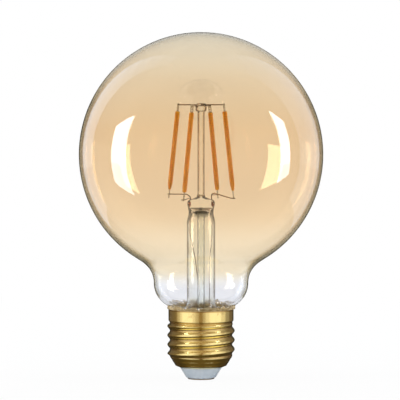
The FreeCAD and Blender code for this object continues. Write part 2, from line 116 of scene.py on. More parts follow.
def add(tree: Tree, kind: str, inputs: Mapping[Any, Any] | Sequence[Any] = (), stops: Stops = (),
        out: int | str = 0, **settings: Any) -> Socket:
    """Adds one shader node, with its settings, values and links.

    Args:
        tree: Node tree that takes the node.
        kind: Node type without its ShaderNode prefix.
        inputs: Values, or the output sockets that feed it, in the order of its sockets or by name or number.
        stops: Places and colours, for a colour ramp.
        out: Number or name of the output that is wanted.
        **settings: Properties of the node itself.

    Returns:
        That output, or the first input of a node that has no output.
    """
    node = tree.nodes.new("ShaderNode" + kind)
    for name, value in settings.items():
        setattr(node, name, value)
    for key, value in inputs.items() if isinstance(inputs, Mapping) else enumerate(inputs):
        if isinstance(value, Socket):
            tree.links.new(value, node.inputs[key])
        else:
            node.inputs[key].default_value = value
    if stops:
        elements = node.color_ramp.elements
        while len(elements) < len(stops):
            elements.new(1.0)
        for element, (place, colour) in zip(elements, stops):
            element.position = place
            element.color = linear(colour)
    return node.outputs[out] if node.outputs else node.inputs[0]


def node_tree(owner: bpy.types.Material | bpy.types.World | bpy.types.Light) -> Tree:
    """Gives a material, the world or a light an empty node tree.

    Args:
        owner: What the nodes belong to.

    Returns:
        The tree.
    """
    owner.use_nodes = True
    owner.node_tree.nodes.clear()
    return owner.node_tree


def put(name: str, data: bpy.types.ID) -> bpy.types.Object:
    """Puts a new object into the scene.

    Args:
        name: Name of the object.
        data: Its mesh, light or camera.

    Returns:
        The object.
    """
    thing = bpy.data.objects.new(name, data)
    bpy.context.scene.collection.objects.link(thing)
    return thing


def look_along(thing: bpy.types.Object, way: Sequence[float]) -> None:
    """Turns a lamp or the camera to look along a direction."""
    thing.rotation_mode = "QUATERNION"
    thing.rotation_quaternion = Vector(way).to_track_quat("-Z", "Y")


@dataclass(frozen=True)
class Finish:
    """What all finishes share: a real material's name and one shader, drawn on Object coordinates."""

    name: str

    def inputs(self, tree: Tree, place: Socket) -> dict[str, Any]:
        """Values and links of the shader's sockets, which each finish has of its own."""
        raise NotImplementedError

    @staticmethod
    def relief(tree: Tree, place: Socket, scale: float, depth_mm: float, detail: float,
               strength: float) -> Socket:
        """Adds a skin that is uneven by a noise pattern, and gives its normal."""
        grain = add(tree, "TexNoise", {"Vector": place, "Scale": scale, "Detail": detail})
        return add(tree, "Bump", {"Height": grain, "Strength": strength, "Distance": depth_mm * MM})

    def build(self) -> bpy.types.Material:
        """Builds the node material.

        Returns:
            The material.
        """
        material = bpy.data.materials.new(self.name)
        tree = node_tree(material)
        shader = add(tree, "BsdfPrincipled", self.inputs(tree, add(tree, "TexCoord", out="Object")))
        add(tree, "OutputMaterial", {"Surface": shader})
        return material


@dataclass(frozen=True)
class GlassFinish(Finish):
    """Blown glass with a thin tint that changes with height and darkens where the eye grazes the wall.

    Heights are in mm. The darkening at a grazing angle is a painted dark edge: painted shade that stands in
    for the dark surroundings that the wall bends and mirrors in there, and in tinted glass partly for the
    longer path through the tint. With a shade, the mesh's shade attribute brings that colour in as painted
    shade, and its bore attribute marks the inside of a tube.
    """

    tints: Stops  # height and colour of one wall
    rim: Stops  # grazing, 0 face on to 1 edge on, and what the wall keeps of the light: the painted dark edge
    rim_heights: Stops = ((0.0, PLAIN_RIM), (140.0, PLAIN_RIM))  # height and width of the painted dark edge, white double
    matt: Stops = ()  # height and roughness, all smooth if empty
    # colour of the painted shade that the mesh's shade attribute brings in, none if empty
    shade: str = ""
    bore_rim: float = 0.5  # width of the painted dark edge inside a tube, 1 as outside
    ragged_mm: float = 0.0  # how far tint and gloss wander up and down round the piece
    ragged_size_mm: float = 2.5
    wave_mm: float = 30.0  # slow waves that blowing leaves
    wave_depth_mm: float = 0.02

    @staticmethod
    def by_height(tree: Tree, height: Socket, stops: Stops) -> Socket:
        """Adds a colour ramp over the lamp's height.

        Args:
            tree: Node tree that takes the nodes.
            height: Height in metres.
            stops: Heights in mm and colours.

        Returns:
            The ramp's colour.
        """
        low, high = stops[0][0], stops[-1][0]
        share = add(tree, "MapRange", (height, low * MM, high * MM))
        return add(tree, "ValToRGB", (share,), tuple(((z - low) / (high - low), tone) for z, tone in stops))

    def inputs(self, tree: Tree, place: Socket) -> dict[str, Any]:
        """Gives the eye a tint, a painted dark edge line and slightly uneven reflections.

        Args:
            tree: Node tree that takes the nodes.
            place: Object coordinates.

        Returns:
            Values and links of the shader's sockets.
        """
        size = self.ragged_size_mm * MM
        stray = add(tree, "TexNoise", {"Vector": place, "Scale": 1.0 / size, "Detail": 3.0})
        wander = add(tree, "MapRange", (stray, *NOISE_BAND, -self.ragged_mm * MM, self.ragged_mm * MM))
        rise = add(tree, "SeparateXYZ", (place,), out="Z")
        height = add(tree, "Math", (rise, wander), operation="ADD")
        tint = self.by_height(tree, height, self.tints)
        # painted dark edge: the grazing angle, wider or narrower by height, darkens the tint
        graze = add(tree, "LayerWeight", {"Blend": 0.5}, out="Facing")
        width = add(tree, "Math", (self.by_height(tree, height, self.rim_heights), 2.0), operation="MULTIPLY")
        share = add(tree, "Math", (graze, width), operation="MULTIPLY")
        if self.shade:
            bore = add(tree, "Attribute", out="Fac", attribute_name="bore")
            kept = add(tree, "MapRange", (bore, 0.0, 1.0, 1.0, self.bore_rim))
            share = add(tree, "Math", (share, kept), operation="MULTIPLY")
        edge = add(tree, "ValToRGB", (share,), self.rim)
        colour = add(tree, "Mix", {0: 1.0, 6: tint, 7: edge}, out=2, **MULTIPLY)
        # painted shade from the mesh's shade attribute
        if self.shade:
            painted_shade = add(tree, "Attribute", out="Fac", attribute_name="shade")
            colour = add(tree, "Mix", {0: painted_shade, 6: colour, 7: linear(self.shade)}, out=2, **MULTIPLY)
        return {"Base Color": colour, "IOR": GLASS_IOR, "Transmission Weight": 1.0,
                "Roughness": self.by_height(tree, height, self.matt) if self.matt else 0.0,
                "Normal": self.relief(tree, place, 1.0 / (self.wave_mm * MM), self.wave_depth_mm,
                                      detail=1.0, strength=1.0)}


@dataclass(frozen=True)
class MetalFinish(Finish):
    """Bare metal with cloudy tarnish, fine turning lines and a roughness that varies with both."""

    bright: str
    # colour of tarnish, and of the painted shade in the valleys
    dull: str
    roughness: Pair  # of the clean and of the tarnished metal
    cloud_mm: float = 4.0
    stain: Pair = (0.56, 0.95)  # levels of the clouds at which tarnish starts and is full
    line_mm: float = 0.25  # real lines are finer, and are drawn as coarse as they need to show
    line_depth_mm: float = 0.004
    line_breaks: float = 40.0  # how often a line changes along its run, per metre
    valley: bool = False  # whether painted shade, with some tarnish, gathers by the mesh's valley attribute
    valley_stain: Pair = (0.75, 0.5)  # valley level where painted shade and tarnish start, and the most they come to
    valley_rough: Pair = (0.2, 0.22)  # valley level at which roughness changes, and what it comes to

    def inputs(self, tree: Tree, place: Socket) -> dict[str, Any]:
        """Gives the eye a bright metal with soft stains, drawn lines and painted shade in marked valleys.

        Args:
            tree: Node tree that takes the nodes.
            place: Object coordinates.

        Returns:
            Values and links of the shader's sockets.
        """
        cloud = add(tree, "TexNoise", {"Vector": place, "Scale": 1.0 / (self.cloud_mm * MM), "Detail": 5.0,
                                       "Roughness": 0.6})
        tarnish_and_shade = add(tree, "MapRange", (cloud, *self.stain))
        # the valley mark adds painted shade, with some tarnish, in the hollows
        if self.valley:
            depth = add(tree, "Attribute", out="Fac", attribute_name="valley")
            painted_valley_shade = add(tree, "MapRange", (depth, self.valley_stain[0], 1.0, 0.0, self.valley_stain[1]))
            tarnish_and_shade = add(tree, "Math", (tarnish_and_shade, painted_valley_shade), operation="MAXIMUM")
        colour = add(tree, "ValToRGB", (tarnish_and_shade,), ((0.0, self.bright), (1.0, self.dull)))
        rough = add(tree, "MapRange", (tarnish_and_shade, 0.0, 1.0, *self.roughness))
        if self.valley:
            rough = add(tree, "MapRange", (depth, self.valley_rough[0], 1.0, rough, self.valley_rough[1]))
        stretch = (self.line_breaks, self.line_breaks, 1.0 / (self.line_mm * MM))
        lines = add(tree, "VectorMath", (place, stretch), operation="MULTIPLY")
        return {"Base Color": colour, "Metallic": 1.0, "Roughness": rough,
                "Normal": self.relief(tree, lines, 1.0, self.line_depth_mm, detail=2.0, strength=0.5)}


@dataclass(frozen=True)
class MatteFinish(Finish):
    """Moulded or coated material: two close colours in soft clouds, a fine grain and some gloss."""

    light: str
    dark: str
    roughness: Pair  # of the light and of the dark clouds
    cloud_mm: float = 5.0
    grain_mm: float = 0.3  # real grain is finer, and is drawn as coarse as it needs to show
    grain_depth_mm: float = 0.01
    soft_mm: float = 0.0  # how far light spreads below the surface, none at 0
    soft_share: float = 0.6

    def inputs(self, tree: Tree, place: Socket) -> dict[str, Any]:
        """Gives the eye a mottled body colour with a slightly uneven skin.

        Args:
            tree: Node tree that takes the nodes.
            place: Object coordinates.

        Returns:
            Values and links of the shader's sockets.
        """
        cloud = add(tree, "TexNoise", {"Vector": place, "Scale": 1.0 / (self.cloud_mm * MM), "Detail": 4.0})
        share = add(tree, "MapRange", (cloud, *NOISE_BAND))
        values = {
            "Base Color": add(tree, "ValToRGB", (share,), ((0.0, self.light), (1.0, self.dark))),
            "Roughness": add(tree, "MapRange", (share, 0.0, 1.0, *self.roughness)),
            "Normal": self.relief(tree, place, 1.0 / (self.grain_mm * MM), self.grain_depth_mm,
                                  detail=3.0, strength=0.6)}
        if self.soft_mm:
            values |= {"Subsurface Weight": self.soft_share, "Subsurface Scale": self.soft_mm * MM,
                       "Subsurface Radius": (1.0, 1.0, 1.0)}
        return values


@dataclass(frozen=True)
class PhosphorFinish(Finish):
    """Silicone with phosphor over a row of chips: orange, soft, with faint paler dots at the chips' pitch."""

    light: str
    dark: str
    levels: Pair = (0.35, 0.95)  # sums of cloud and dots at which it is all dark and all light
    chip_pitch_mm: float = 1.05  # about 29 chips along a bar
    dot_share: float = 0.35  # how much a chip shows
    roughness: Pair = (0.32, 0.55)
    cloud_mm: float = 1.8
    grain_mm: float = 0.35  # real phosphor grains are finer, drawn as coarse as they need to show
    grain_depth_mm: float = 0.03
    soft_mm: float = 0.4  # how far red light spreads below the surface
    soft_share: float = 0.4
    soft_reach: tuple[float, float, float] = (1.0, 0.5, 0.2)  # of red, green and blue light

    def inputs(self, tree: Tree, place: Socket) -> dict[str, Any]:
        """Gives the eye a cloudy orange gel with a rhythm along its length.

        Args:
            tree: Node tree that takes the nodes.
            place: Object coordinates.

        Returns:
            Values and links of the shader's sockets.
        """
        run = add(tree, "Attribute", out="Fac", attribute_name="run")
        phase = add(tree, "Math", (run, FULL_TURN / self.chip_pitch_mm), operation="MULTIPLY")
        wave = add(tree, "Math", (phase,), operation="COSINE")
        dots = add(tree, "MapRange", (wave, -1.0, 1.0, 0.0, self.dot_share))
        cloud = add(tree, "TexNoise", {"Vector": place, "Scale": 1.0 / (self.cloud_mm * MM), "Detail": 4.0})
        share = add(tree, "Math", (cloud, dots), operation="ADD")
        return {
            "Base Color": add(tree, "ValToRGB", (share,), tuple(zip(self.levels, (self.dark, self.light)))),
            "Roughness": add(tree, "MapRange", (cloud, 0.0, 1.0, *self.roughness)),
            "Normal": self.relief(tree, place, 1.0 / (self.grain_mm * MM), self.grain_depth_mm,
                                  detail=3.0, strength=0.5),
            "Specular IOR Level": 0.25, "Subsurface Weight": self.soft_share,
            "Subsurface Scale": self.soft_mm * MM, "Subsurface Radius": self.soft_reach}


# The finishes, most of them by slot name; tube and rod have glass of their own.
FINISHES: dict[str, Finish] = {
    # Blown soda-lime glass with an amber coat: honey tint, clear at the neck, a painted dark line at its
    # edge.
    "amber_glass": GlassFinish(
        "amber_glass",
        ((26.0, "#f2eee2"), (30.0, "#f6f8fd"), (36.5, "#f8f9fc"), (42.5, "#fcf5e6"), (54.0, "#fdf2df"),
         (64.0, "#faead2"), (80.0, "#f5e3ca"), (97.0, "#f4e1c6"), (117.0, "#f3e6d1"), (135.1, "#f4f0e4")),
        ((0.0, WHITE), (0.72, WHITE), (0.8, "#c8bd9e"), (0.9, "#5c5642"), (1.0, "#24221a")),
        rim_heights=((20.0, BLACK), (29.5, "#8c8c8c"), (33.0, "#c6c6c6"), (58.0, PLAIN_RIM),
                     (108.0, PLAIN_RIM), (120.0, "#b0b0b0"), (133.0, "#8c8c8c"))),
    # Drawn glass tube: clear, with painted dark edge lines.
    "clear_glass": GlassFinish(
        "clear_glass", ((20.0, "#fbfcfb"), (42.0, "#fafbfa"), (60.0, "#f6f8f7"), (110.0, "#fafbfa")),
        ((0.0, WHITE), (0.34, "#f4f2ee"), (0.48, "#665c4c"), (0.7, "#3a3024"), (1.0, "#1a140e")),
        wave_mm=6.0, wave_depth_mm=0.01),
    # Drawn glass tube, flared and pressed: clear, dull at its foot, with a beige tint there that paints in
    # the reflection of cement and brass, painted shade under its roof and painted dark edge lines.
    "tube_glass": GlassFinish(
        "stem_glass", ((24.0, "#e4d8b4"), (28.5, "#ece6d2"), (30.0, "#f6f6f0"), (32.0, "#fcfdfc"),
                       (42.0, "#fbfcfb"), (52.0, "#f6f8f7"), (70.0, "#f8faf9")),
        ((0.0, WHITE), (0.42, "#f4f2ee"), (0.55, "#5e554a"), (0.72, "#342e28"), (1.0, "#1c1814")),
        rim_heights=((24.0, BLACK), (28.0, BLACK), (30.2, "#a0a0a0"), (31.5, PLAIN_RIM),
                     (60.0, PLAIN_RIM), (65.0, "#e4e4e4"), (72.0, "#e4e4e4")),
        matt=((24.0, "#8c8c8c"), (29.5, "#808080"), (31.0, BLACK)), shade="#34361f", ragged_mm=1.0,
        wave_mm=4.0, wave_depth_mm=0.03),
    # Drawn glass rod: a lens; painted brown edge lines stand in for the dark surroundings that it bends in,
    # and leave only a narrow clear core.
    "rod_glass": GlassFinish(
        "support_rod_glass", ((60.0, "#f8faf9"), (110.0, "#fafbfa")),
        ((0.0, WHITE), (0.12, "#f6f2ea"), (0.24, "#8a7050"), (0.4, "#4a3420"), (1.0, "#1c120a")),
        wave_mm=6.0, wave_depth_mm=0.01),
    # Rolled brass sheet: a yellow mirror on the crests, brown painted shade with some tarnish in the valleys,
    # and a painted shadow along the top rim under the cement bead.
    "cap_brass": MetalFinish("rolled_brass", "#fff0ac", "#94581a", (0.16, 0.28), valley=True),
    # Stamped and tinned contact: pale grey and half dull.
    "contact_metal": MetalFinish("tinned_contact", "#eef2f8", "#ccd2dc", (0.25, 0.45), cloud_mm=2.0),
    # Stamped steel strip: warm grey with a satin gloss.
    "tab_steel": MetalFinish("tab_steel", "#b9b3a6", "#8a8172", (0.25, 0.45), cloud_mm=1.0),
    # Drawn nickel wire, browned by the heat of sealing: dark, with thin glints.
    "nickel_wire": MetalFinish("nickel_wire", "#6e563a", "#443220", (0.3, 0.5), cloud_mm=1.2),
    # Copper-clad seal wire with a borate skin: dull red brown.
    "seal_wire": MetalFinish("borated_seal_wire", "#7c4c3a", "#54301f", (0.35, 0.55), cloud_mm=0.8),
    # Drawn copper wire, oxidised: dull brown.
    "copper_wire": MetalFinish("copper_wire", "#6e4a38", "#4a3226", (0.3, 0.5), cloud_mm=1.5),
    # Moulded insulator: pale, milky and smooth.
    "pale_insulator": MatteFinish("pale_insulator", "#dfe8f2", "#cfdae6", (0.22, 0.34), soft_mm=0.6),
    # Baked basing cement: beige clouds, coarse grain, glossy in patches.
    "basing_cement": MatteFinish("basing_cement", "#c4b088", "#8e7444", (0.25, 0.5), cloud_mm=1.3,
                                 grain_mm=0.6, grain_depth_mm=0.035, soft_mm=0.4),
    # Pressed glass-fibre laminate: pale with a satin gloss.
    "board_laminate": MatteFinish("board_laminate", "#d8d2b8", "#c6bf9e", (0.35, 0.5)),
    # Moulded epoxy: near black, with a fine dull grain.
    "chip_plastic": MatteFinish("chip_plastic", "#2b2b2d", "#1f1f21", (0.4, 0.6), grain_mm=0.1),
    # Shrunk plastic sleeve: dark with a soft gloss.
    "capacitor_sleeve": MatteFinish("capacitor_sleeve", "#3a3036", "#2a2228", (0.25, 0.4)),
    # Dipped lacquer: green with a satin gloss.
    "fuse_coating": MatteFinish("fuse_coating", "#7f9a6a", "#6b8558", (0.35, 0.5), cloud_mm=1.5),
    # Moulded silicone with phosphor: orange and soft, with paler dots over the chips.
    "phosphor_coat": PhosphorFinish("phosphor_coat", "#f3ae2c", "#de9218"),
}


def unit(value: np.ndarray) -> np.ndarray:
    """Keeps values between 0 and 1."""
    return np.clip(value, 0.0, 1.0)


def smooth_step(value: np.ndarray) -> np.ndarray:
    """Eases values from 0 to 1 by 3 t^2 - 2 t^3."""
    t = unit(value)
    return t * t * (3.0 - 2.0 * t)


def sines(run: np.ndarray, waves: Waves, mean: float = 0.0) -> np.ndarray:
    """Mean plus a sum of size times sin(rate times run plus phase), over waves of rate, size and phase."""
    return sum((size * np.sin(rate * run + phase) for rate, size, phase in waves), mean)


def angles(count: int) -> np.ndarray:
    """Azimuths in radians of points spread evenly round the axis."""
    return FULL_TURN * np.arange(count) / count


def around(r: np.ndarray, z: np.ndarray, angle: np.ndarray) -> np.ndarray:
    """Rings of points (r cos a, r sin a, z), with a column for each angle a."""
    return np.stack([r * np.cos(angle), r * np.sin(angle), z + 0.0 * angle], axis=-1)


def arc(centre: Pair, radius: float, start: float, end: float, count: int) -> np.ndarray:
    """Outline points on a circle about a centre, between two angles in degrees from outward towards up."""
    angle = np.radians(np.linspace(start, end, count))
    return np.column_stack([centre[0] + radius * np.cos(angle), centre[1] + radius * np.sin(angle)])


def s_bend(start: Pair, end: Pair, count: int) -> np.ndarray:
    """Outline points whose radius makes a smooth step between two points while the height runs evenly."""
    t = np.linspace(0.0, 1.0, count)[:, None]
    return np.array(start) + np.subtract(end, start) * np.hstack([smooth_step(t), t])


def outline(*runs: np.ndarray | Pair) -> np.ndarray:
    """Joins (radius, height) points and runs of them into one outline without doubled points."""
    joined = np.vstack([np.atleast_2d(np.asarray(run, float)) for run in runs])
    return joined[np.concatenate([[True], np.linalg.norm(np.diff(joined, axis=0), axis=1) > 1e-5])]


def rounded(corners: Sequence[Pair], radius: float, count: int) -> np.ndarray:
    """Rounds the inner corners of an open outline.

    Each corner c becomes the quadratic blend (1-t)^2 a + 2 t (1-t) c + t^2 b, where a and b lie on its two
    sides at the tangent length of the radius.

    Args:
        corners: Corner points, (radius, height) rows.
        radius: Bend radius.
        count: Points per corner.

    Returns:
        Array of (radius, height) rows.
    """
    corners = np.array(corners)
    before, corner, after = corners[:-2], corners[1:-1], corners[2:]
    back = (before - corner) / np.linalg.norm(before - corner, axis=1, keepdims=True)
    ahead = (after - corner) / np.linalg.norm(after - corner, axis=1, keepdims=True)
    half = np.arccos(np.clip(np.sum(back * ahead, axis=1), -1.0, 1.0)) / 2.0
    reach = (radius / np.tan(half))[:, None]
    a, b = corner + back * reach, corner + ahead * reach
    t = np.linspace(0.0, 1.0, count)[None, :, None]
    bends = (1 - t) ** 2 * a[:, None] + 2 * t * (1 - t) * corner[:, None] + t ** 2 * b[:, None]
    return np.vstack([corners[:1], bends.reshape(-1, 2), corners[-1:]])


def evenly(points: np.ndarray, count: int) -> np.ndarray:
    """Spreads a number of points evenly along a line of points."""
    run = np.concatenate([[0.0], np.cumsum(np.linalg.norm(np.diff(points, axis=0), axis=1))])
    return np.column_stack([np.interp(np.linspace(0.0, run[-1], count), run, column) for column in points.T])


@dataclass
class Skin:
    """Rings of points round a line, and how they close."""

    rings: np.ndarray  # rows, columns and x, y, z in mm
    loop: bool = False  # whether the last ring joins the first one, as in a ring-shaped solid
    marks: dict[str, np.ndarray] = field(default_factory=dict)  # named value per point, for the shader

    def mesh(self, name: str, edge: Edge) -> bpy.types.Mesh:
        """Makes the mesh: quads between the rings, and a point at each end where they don't loop.

        Args:
            name: Name of the mesh.
            edge: Which edges stay sharp.

        Returns:
            A closed mesh with outward faces.
        """
        rows, columns, _ = self.rings.shape
        points = self.rings.reshape(-1, 3)
        upper = columns * np.arange(rows if self.loop else rows - 1)[:, None]
        lower = (upper + columns) % len(points)
        here = np.arange(columns)
        there = (here + 1) % columns
        quads = np.stack([upper + here, lower + here, lower + there, upper + there], axis=-1)
        faces = quads.reshape(-1, 4).tolist()
        if not self.loop:
            first, last = np.full(columns, len(points)), len(points) - columns
            points = np.vstack([points, self.rings[0].mean(axis=0), self.rings[-1].mean(axis=0)])
            faces += np.column_stack([first, here, there]).tolist()
            faces += np.column_stack([first + 1, last + there, last + here]).tolist()
        mesh = bpy.data.meshes.new(name)
        mesh.from_pydata((points * MM).tolist(), [], faces)
        mesh.polygons.foreach_set("use_smooth", np.ones(len(mesh.polygons), bool))
        for mark, values in self.marks.items():
            flat = np.concatenate([values.ravel(), np.zeros(len(points) - values.size)])
            mesh.attributes.new(mark, "FLOAT", "POINT").data.foreach_set("value", flat.astype(np.float32))
        mesh.update()
        mesh.set_sharp_from_angle(angle=np.radians(edge.value))
        return mesh


def turned(profile: np.ndarray, columns: int, loop: bool = False) -> Skin:
    """Turns (radius, height) rows, down the outside and up the inside, about the axis; loop closes them."""
    return Skin(around(profile[:, :1], profile[:, 1:], angles(columns)), loop)


class Builder:
    """Makes the materials, puts finished meshes into the scene and tells the frame about them."""

    def __init__(self) -> None:
        """Builds every material once."""
        self.materials = {slot: finish.build() for slot, finish in FINISHES.items()}

    def piece(self, name: str, skin: Skin, slot: str, nodes: Sequence[str], edge: Edge = Edge.PLAIN,
              finish: str = "") -> None:
        """Makes one piece that rides on the lamp.

        Args:
            name: Name of the piece.
            skin: Its surface.
            slot: Material slot that it takes its finish from.
            nodes: CAD nodes that it stands for.
            edge: Which edges stay sharp.
            finish: Finish, where it isn't the slot's own.
        """
        mesh = skin.mesh(name, edge)
        mesh.materials.append(self.materials[finish or slot])
        piece = put(name, mesh)
        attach(piece, BODY)
        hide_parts(*nodes)
        LOG.info("built %s: %d faces", name, len(mesh.polygons))

    def dress(self, node: str, slot: str) -> None:
        """Gives a carried-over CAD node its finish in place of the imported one.

        Args:
            node: Name of the CAD node.
            slot: Slot whose finish it gets.
        """
        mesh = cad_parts[node].data
        mesh.materials.clear()
        mesh.materials.append(self.materials[slot])
        LOG.info("dressed %s in %s", node, slot)


@dataclass
class SubAssembly:
    """Pieces that belong together, and the builder that takes them."""

    builder: Builder


@dataclass
class Envelope(SubAssembly):
    """Blown glass globe with its neck and the straight end in the cap; sizes in mm."""

    globe_r: float = 47.5
    wall: float = 0.8
    neck_r: float = 18.4
    fillet_r: float = 10.0
    bowl_r: float = 10.0
    end_fillet_r: float = 0.8
    end_r: float = 11.86
    end_z: float = 23.5
    end_top_z: float = 27.6
    ease: float = 1.6
    rows: int = 240
    columns: int = 168

    def __post_init__(self) -> None:
        """Works out the heights of the neck and the globe from the tangent arcs."""
        self.bowl_centre_r = self.neck_r - self.bowl_r
        self.end_centre_r = self.end_r + self.end_fillet_r
        self.fillet_centre_r = self.neck_r + self.fillet_r
        across = self.end_centre_r - self.bowl_centre_r
        drop = np.sqrt((self.bowl_r + self.end_fillet_r) ** 2 - across ** 2)
        rise = np.sqrt((self.globe_r + self.fillet_r) ** 2 - self.fillet_centre_r ** 2)
        self.neck_z = self.end_top_z + drop
        self.globe_z = self.neck_z + rise
        self.globe_turn = np.degrees(np.arctan2(-rise, self.fillet_centre_r))
        self.bowl_turn = np.degrees(np.arctan2(-drop, across))

    def side(self, inset: float) -> np.ndarray:
        """One face of the wall from the crown to the neck end, made of four tangent arcs and a straight run.

        Where the globe turns into the fillet the points are averaged with a bell curve, cut at three times
        its width, as soft glass flows. The averaging fades out over two widths to each side.

        Args:
            inset: Distance from the outer face.

        Returns:
            Array of (radius, height) rows.
        """
        globe = arc((0.0, self.globe_z), self.globe_r - inset, 90.0, self.globe_turn, count=150)[1:]
        fillet = arc((self.fillet_centre_r, self.neck_z), self.fillet_r + inset,
                     180.0 + self.globe_turn, 180.0, count=30)
        bowl = arc((self.bowl_centre_r, self.neck_z), self.bowl_r - inset, 0.0, self.bowl_turn, count=30)
        end_fillet = arc((self.end_centre_r, self.end_top_z), self.end_fillet_r + inset,
                         180.0 + self.bowl_turn, 180.0, count=10)
        neck = evenly(outline(globe, fillet), self.rows)
        step = np.linalg.norm(neck[1] - neck[0])
        reach = int(3.0 * self.ease / step)
        bell = np.exp(-0.5 * (np.arange(-reach, reach + 1) * step / self.ease) ** 2)
        inner = slice(reach, len(neck) - reach)
        eased = np.column_stack([np.convolve(column, bell / bell.sum(), "valid") for column in neck.T])
        near = np.exp(-((neck[inner, 1:] - fillet[0, 1]) / (2.0 * self.ease)) ** 2)
        neck[inner] += near * (eased - neck[inner])
        return outline(neck, bowl, end_fillet, (self.end_r - inset, self.end_z))

    def build(self) -> None:
        """Builds the globe with both faces of its wall."""
        profile = outline(self.side(0.0), self.side(self.wall)[::-1])
        skin = turned(profile, self.columns)
        self.builder.piece("glass_globe", skin, "amber_glass", ["glass_envelope"], Edge.SOFT)


@dataclass
class ScrewCap(SubAssembly):
    """Rolled brass shell, pale insulator and centre contact; sizes in mm."""

    height: float = 27.2
    sheet: float = 0.3
    collar_r: float = 12.7
    groove_z: float = 22.2
    groove_slope: float = 0.6
    major_r: float = 13.15
    minor_r: float = 12.15
    pitch: float = 3.629
    crest_drop: float = 1.5
    runout: float = 1.2
    thread_end_z: float = 8.8
    cone_r: float = 10.0
    cone_z: float = 5.3
    lip_r: float = 8.35
    lip_z: float = 4.6
    bend_r: float = 0.9
    ridge_pitch: float = 1.6
    ridge_depth: float = 0.042
    ridge_clear: float = 0.2
    # band at the top of the collar that gets a painted shadow from the cement bead above it
    stained_rim: float = 0.45
    plain_valley: float = 0.2
    rows: int = 230
    columns: int = 160
    tip_r: float = 5.7
    boss_r: float = 9.1
    boss_z: float = 8.5
    boss_low_z: float = 5.4
    neck_r: float = 8.18
    neck_top_z: float = 4.96
    bore_r: float = 0.94
    foot_edge_r: float = 0.9
    contact_r: float = 5.2
    contact_t: float = 0.5
    contact_edge_r: float = 0.24
    pin_r: float = 0.9
    pin_z: float = 9.5
    foot_columns: int = 96

    def wave(self, angle: np.ndarray, z: np.ndarray) -> np.ndarray:
        """Share of the thread's height: a cosine along a right-hand helix that runs out at both ends.

        Args:
            angle: Azimuth in radians.
            z: Height in mm.

        Returns:
            Values from 0 at the root to 1 on the crest.
        """
        crest_z = self.groove_z - self.crest_drop + self.pitch * (angle - np.pi) / FULL_TURN
        crest = 0.5 + 0.5 * np.cos(FULL_TURN * (z - crest_z) / self.pitch)
        upper, lower = (self.groove_z - z) / self.runout, (z - self.thread_end_z) / self.runout
        return crest * smooth_step(upper) * smooth_step(lower)

    def shell(self) -> None:
        """Builds the shell: outer skin down, lip, inner skin up, each ring pushed out by the thread's wave.

        Below the thread the rings also swell by a sine of the height, the faint ridges that rolling leaves.
        """
        corners = ((self.collar_r, self.height), (self.collar_r, self.groove_z + self.groove_slope),
                   (self.minor_r, self.groove_z), (self.minor_r, self.thread_end_z),
                   (self.cone_r, self.cone_z), (self.lip_r, self.lip_z))
        outer = evenly(rounded(corners, self.bend_r, count=9), self.rows)
        along = np.gradient(outer, axis=0)
        along /= np.linalg.norm(along, axis=1, keepdims=True)
        inner = outer + np.column_stack([along[:, 1], -along[:, 0]]) * self.sheet
        profile = np.vstack([outer, inner[::-1]])
        z = profile[:, 1:]
        angle = angles(self.columns)
        share = self.wave(angle, z)
        on_cone = (z < self.thread_end_z) & (z > self.lip_z + self.ridge_clear)
        ridges = np.where(on_cone, np.sin(FULL_TURN * (self.thread_end_z - z) / self.ridge_pitch), 0.0)
        r = profile[:, :1] + (self.major_r - self.minor_r) * share + self.ridge_depth * ridges
        on_thread = (z < self.groove_z + self.groove_slope) & (z > self.thread_end_z)
        # valley mark: the thread's depth, for painted shade with some tarnish in its roots, and 1 on the top
        # rim for a painted shadow under the cement bead
        elsewhere = np.where(z > self.height - self.stained_rim, 1.0, self.plain_valley)
        skin = Skin(around(r, z, angle), True, {"valley": np.where(on_thread, 1.0 - share, elsewhere)})
        self.builder.piece("brass_shell", skin, "cap_brass", ["screw_shell"])

    def insulator(self) -> None:
        """Builds the insulator: boss in the shell, cone with a rounded foot, bore for the pin."""
        foot = rounded(((self.neck_r, self.lip_z), (self.tip_r, self.contact_t),
                        (self.bore_r, self.contact_t)), self.foot_edge_r, count=12)
        profile = outline((self.boss_r, self.boss_z), (self.boss_r, self.boss_low_z),
                          (self.neck_r, self.neck_top_z), foot, (self.bore_r, self.boss_z))
        skin = turned(profile, self.foot_columns, True)
        self.builder.piece("insulator", skin, "pale_insulator", ["cap_insulator"], Edge.CRISP)

    def contact(self) -> None:
        """Builds the contact: pin, disc and softly rounded edge."""
        disc = rounded(((self.pin_r, self.contact_t), (self.contact_r, self.contact_t), (self.contact_r, 0.0),
                        (AXIS_R, 0.0)), self.contact_edge_r, count=8)
        skin = turned(outline((AXIS_R, self.pin_z), (self.pin_r, self.pin_z), disc), self.foot_columns)
        self.builder.piece("contact_disc", skin, "contact_metal", ["centre_contact"], Edge.CRISP)

    def build(self) -> None:
        """Builds the three pieces of the cap."""
        self.shell()
        self.insulator()
        self.contact()


